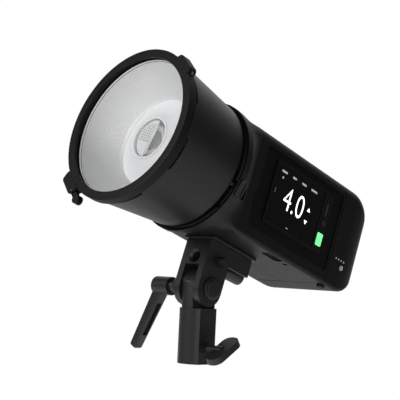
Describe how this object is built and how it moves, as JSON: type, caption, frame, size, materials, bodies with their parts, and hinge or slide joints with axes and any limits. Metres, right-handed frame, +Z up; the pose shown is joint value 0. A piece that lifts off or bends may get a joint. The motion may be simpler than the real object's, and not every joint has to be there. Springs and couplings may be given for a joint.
{
  "type": "monolight strobe",
  "caption": "Battery monolight: reflector with clamp ring and glass dome, boxy body with side screen, tilting stand bracket with lever, umbrella bore and wing clamp.",
  "frame": {"origin": "centre of the receiver's open bottom end, on the stand socket's axis", "axes": "+Z up along the stand socket, -Y towards the lit subject, +X towards the display side"},
  "size_m": [0.1415, 0.2743, 0.2493],
  "materials": {
    "body": "satin",
    "black": "matt",
    "skirt": "satin",
    "bracket": "fine satin",
    "silver": "dimpled, anodised",
    "white": "gloss",
    "glass": "polished",
    "screen": "polished",
    "green": "lit",
    "light_grey": "satin",
    "steel": "plated",
    "board": "lacquered",
    "ceramic": "glazed",
    "sleeve": "satin",
    "aluminium": "satin"
  },
  "bodies": {
    "receiver_body": {"receiver": "bracket", "friction_washer_display_side": "steel", "friction_washer_far_side": "steel"},
    "clamp_screw": {"clamp_stud": "steel"},
    "clamp_wing": {"wing_knob": "bracket"},
    "head": {"front_plate": "white", "lamp_housing": "black", "glass_dome": "glass", "led_board": "white", "flash_tube": "glass", "lamp_socket": "ceramic", "mount_ring": "black", "mount_screw_1": "steel", "mount_screw_2": "steel", "mount_screw_3": "steel", "mount_screw_4": "steel", "front_collar": "body", "casing_display_side": "body", "casing_far_side": "body", "rear_bulkhead": "black", "side_panel": "body", "screen_glass": "screen", "screen_bezel": "body", "control_strip": "black", "panel_window": "black", "port_panel": "black", "inner_frame": "aluminium", "capacitor_1": "sleeve", "capacitor_2": "sleeve", "main_board": "board", "trigger_transformer": "sleeve", "heat_sink": "aluminium", "display_board": "board", "fan_frame": "black", "bracket_plate": "bracket", "bracket_block": "bracket", "umbrella_tube": "bracket", "pivot_bolt": "bracket", "pivot_boss": "bracket", "lever_spacer": "steel"},
    "lever": {"tilt_lever": "bracket"},
    "umbrella_screw": {"umbrella_lock_stud": "steel"},
    "umbrella_knob": {"umbrella_lock_knob": "bracket"},
    "reflector": {"reflector_skirt": "skirt", "reflector_dish": "silver", "reflector_bayonet": "steel", "accessory_ring": "black", "latch_pin": "steel"},
    "latch": {"latch_lever": "black"},
    "release": {"release_slider": "body", "lock_pin": "steel"},
    "test_key": {"test_button": "green"},
    "power_key": {"power_button": "black"},
    "fan": {"fan_rotor": "black"},
    "battery": {"battery_case": "body", "battery_front_plate": "black", "cell_pack": "sleeve", "charge_gauge": "light_grey"},
    "check_key": {"check_button": "light_grey"},
    "battery_release": {"battery_release_button": "black"}
  },
  "joints": [
    {"name": "head_tilt", "type": "hinge", "parent": "receiver_body", "child": "head", "pos_m": [0, 0, 0.0618], "axis": [-1, 0, 0], "range_deg": [-100, 70]},
    {"name": "tilt_lever_turn", "type": "hinge", "parent": "head", "child": "lever", "pos_m": [0, 0, 0.0618], "axis": [1, 0, 0], "range_deg": [-75, 75]},
    {"name": "clamp_travel", "type": "slide", "parent": "receiver_body", "child": "clamp_screw", "axis": [1, 0, 0], "range_m": [-0.0018, 0.003]},
    {"name": "clamp_turn", "type": "hinge", "parent": "clamp_screw", "child": "clamp_wing", "pos_m": [0.0152, 0, 0.0124], "axis": [1, 0, 0], "range_deg": [-810, 1350]},
    {"name": "umbrella_lock_travel", "type": "slide", "parent": "head", "child": "umbrella_screw", "axis": [1, 0, 0], "range_m": [-0.0004, 0.002]},
    {"name": "umbrella_lock_turn", "type": "hinge", "parent": "umbrella_screw", "child": "umbrella_knob", "pos_m": [0.0148, 0.00752, 0.08364], "axis": [1, 0, 0], "range_deg": [-180, 900]},
    {"name": "reflector_twist", "type": "hinge", "parent": "head", "child": "reflector", "pos_m": [0, -0.05122, 0.17505], "axis": [0, 0.9455, -0.3256], "range_deg": [0, 18]},
    {"name": "ring_latch_swing", "type": "hinge", "parent": "reflector", "child": "latch", "pos_m": [-0.04189, -0.10337, 0.13356], "axis": [0, 0.9455, -0.3256], "range_deg": [0, 75]},
    {"name": "release_travel", "type": "slide", "parent": "head", "child": "release", "axis": [0, 0.9455, -0.3256], "range_m": [0, 0.003], "stiffness_N_per_m": 400, "springref_m": -0.0005},
    {"name": "test_press", "type": "slide", "parent": "head", "child": "test_key", "axis": [-1, 0, 0], "range_m": [0, 0.0006], "stiffness_N_per_m": 800, "springref_m": -0.0003},
    {"name": "power_press", "type": "slide", "parent": "head", "child": "power_key", "axis": [-1, 0, 0], "range_m": [0, 0.0006], "stiffness_N_per_m": 800, "springref_m": -0.0003},
    {"name": "fan_spin", "type": "hinge", "parent": "head", "child": "fan", "pos_m": [0, 0.09487, 0.12263], "axis": [0, 0.9455, -0.3256], "continuous": true},
    {"name": "battery_travel", "type": "slide", "parent": "head", "child": "battery", "axis": [0, 0.9455, -0.3256], "range_m": [0, 0.045]},
    {"name": "check_press", "type": "slide", "parent": "battery", "child": "check_key", "axis": [-1, 0, 0], "range_m": [0, 0.0006], "stiffness_N_per_m": 800, "springref_m": -0.0003},
    {"name": "battery_release_press", "type": "slide", "parent": "battery", "child": "battery_release", "axis": [0, 0.3256, 0.9455], "range_m": [0, 0.0016], "stiffness_N_per_m": 600, "springref_m": -0.0004}
  ],
  "couplings": [
    {"joint": "clamp_turn", "follows": "clamp_travel", "rad_per_m": 7854},
    {"joint": "umbrella_lock_turn", "follows": "umbrella_lock_travel", "rad_per_m": 7854}
  ]
}
